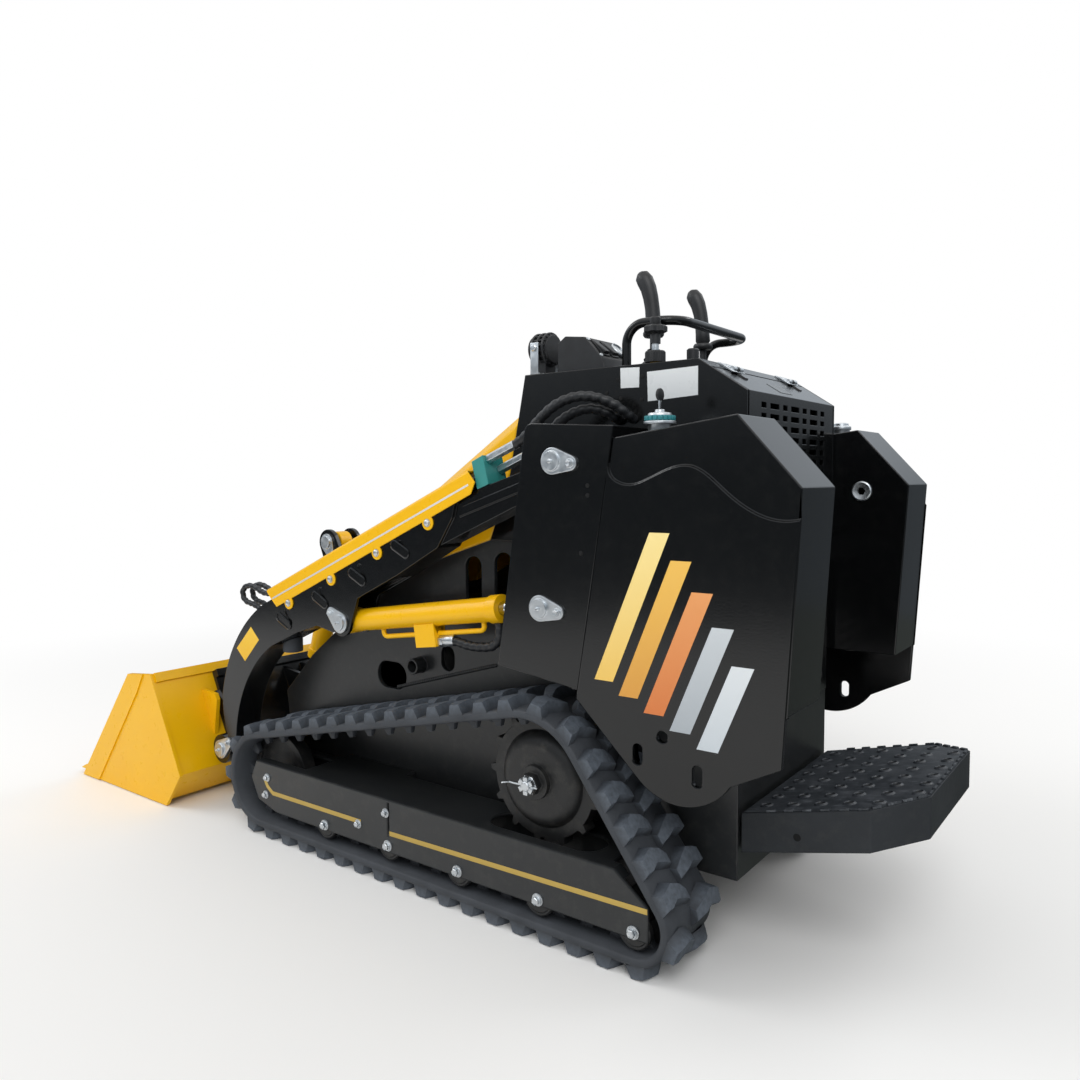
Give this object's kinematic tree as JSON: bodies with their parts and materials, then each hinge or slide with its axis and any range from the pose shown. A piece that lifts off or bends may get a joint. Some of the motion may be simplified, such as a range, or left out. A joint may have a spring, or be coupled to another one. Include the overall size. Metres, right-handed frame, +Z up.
{
  "type": "compact track loader",
  "caption": "Stand-on compact track loader: rubber tracks under a narrow body, rear pods beside the operator platform, twin lift arms on towers and a bucket on a tilting hitch.",
  "frame": {"origin": "middle of the footprint on the ground", "axes": "+X forward to the bucket, +Y to the machine left, +Z up"},
  "size_m": [2.558, 0.97, 1.4092],
  "materials": {
    "black_powder_coat": "gloss black powder coat",
    "charcoal_paint": "satin charcoal paint",
    "yellow_paint": "gloss yellow enamel",
    "hose_rubber": "black hydraulic hose",
    "teal_anodised": "teal anodised block",
    "track_rubber": "moulded rubber, scuffed",
    "zinc_steel": "zinc plated steel",
    "chrome_rod": "hard chrome",
    "cast_iron": "painted casting",
    "black_plastic": "moulded black plastic"
  },
  "bodies": {
    "chassis": {"chassis": "charcoal_paint", "engine_block": "cast_iron", "console": "black_powder_coat", "engine_hood": "yellow_paint", "rear_grille": "black_powder_coat", "instrument_box": "black_plastic", "work_lamp": "black_plastic", "control_levers": "black_plastic", "hand_rail": "black_powder_coat", "hatch_hinges": "zinc_steel", "platform": "black_powder_coat", "platform_bracket": "black_powder_coat", "fuel_cap": "black_plastic", "arm_pivot_pins": "zinc_steel", "arm_hoses": "hose_rubber", "track_left": "track_rubber", "track_right": "track_rubber", "track_frame_left": "charcoal_paint", "track_frame_right": "charcoal_paint", "road_rollers_left": "cast_iron", "road_rollers_right": "cast_iron", "front_idler_left": "cast_iron", "front_idler_right": "cast_iron", "drive_sprocket_left": "cast_iron", "drive_sprocket_right": "cast_iron", "tower_left": "black_powder_coat", "tower_right": "black_powder_coat", "pod_left": "black_powder_coat", "pod_right": "black_powder_coat"},
    "boom": {"arm_cross_tube": "black_powder_coat", "boom_pins": "zinc_steel", "arm_tubes": "zinc_steel", "hose_manifold": "teal_anodised", "arm_front_hoses": "hose_rubber", "bump_stops": "hose_rubber", "lift_arm_left": "black_powder_coat", "lift_arm_right": "black_powder_coat", "arm_cover_left": "yellow_paint", "arm_cover_right": "yellow_paint"},
    "bucket": {"bucket": "yellow_paint", "hitch": "black_powder_coat"},
    "hatch": {"rear_hatch": "black_powder_coat"},
    "tilt_barrel": {"tilt_barrel": "yellow_paint"},
    "tilt_rod": {"tilt_rod": "chrome_rod"},
    "lift_barrel_left": {"lift_barrel_left": "yellow_paint", "lift_hose_left": "hose_rubber"},
    "lift_rod_left": {"lift_rod_left": "chrome_rod"},
    "lift_barrel_right": {"lift_barrel_right": "yellow_paint", "lift_hose_right": "hose_rubber"},
    "lift_rod_right": {"lift_rod_right": "chrome_rod"}
  },
  "joints": [
    {"name": "lift", "type": "hinge", "parent": "chassis", "child": "boom", "pos_m": [-0.619, 0, 0.986], "axis": [0, -1, 0], "range_deg": [0, 60], "deforming": ["arm_hoses"]},
    {"name": "tilt", "type": "hinge", "parent": "boom", "child": "bucket", "pos_m": [0.607, 0, 0.174], "axis": [0, 1, 0], "range_deg": [-22, 92]},
    {"name": "hatch", "type": "hinge", "parent": "chassis", "child": "hatch", "pos_m": [-0.88612, 0, 1.16994], "axis": [0, 1, 0], "range_deg": [0, 95]},
    {"name": "lift_barrel_left", "type": "hinge", "parent": "boom", "child": "lift_barrel_left", "pos_m": [0.07, 0.345, 0.595], "axis": [0, -1, 0], "range_deg": [-4.9, 0]},
    {"name": "lift_rod_left", "type": "slide", "parent": "lift_barrel_left", "child": "lift_rod_left", "axis": [-0.9899, 0, 0.1418], "range_m": [0, 0.29713]},
    {"name": "lift_barrel_right", "type": "hinge", "parent": "boom", "child": "lift_barrel_right", "pos_m": [0.07, -0.345, 0.595], "axis": [0, -1, 0], "range_deg": [-4.9, 0]},
    {"name": "lift_rod_right", "type": "slide", "parent": "lift_barrel_right", "child": "lift_rod_right", "axis": [-0.9899, 0, 0.1418], "range_m": [0, 0.29713]},
    {"name": "tilt_barrel", "type": "hinge", "parent": "boom", "child": "tilt_barrel", "pos_m": [0.519, 0, 0.761], "axis": [0, 1, 0], "range_deg": [-2.82, 0.67]},
    {"name": "tilt_rod", "type": "slide", "parent": "tilt_barrel", "child": "tilt_rod", "axis": [0.301, 0, -0.9536], "range_m": [-0.04561, 0.19072]}
  ],
  "couplings": [
    {"joint": "lift_barrel_left", "follows": "lift", "ratio": -0.080056},
    {"joint": "lift_rod_left", "follows": "lift", "m_per_rad": 0.27817},
    {"joint": "lift_barrel_right", "follows": "lift", "ratio": -0.080056},
    {"joint": "lift_rod_right", "follows": "lift", "m_per_rad": 0.27817},
    {"joint": "tilt_barrel", "follows": "tilt", "ratio": -0.03},
    {"joint": "tilt_rod", "follows": "tilt", "m_per_rad": 0.11645}
  ]
}
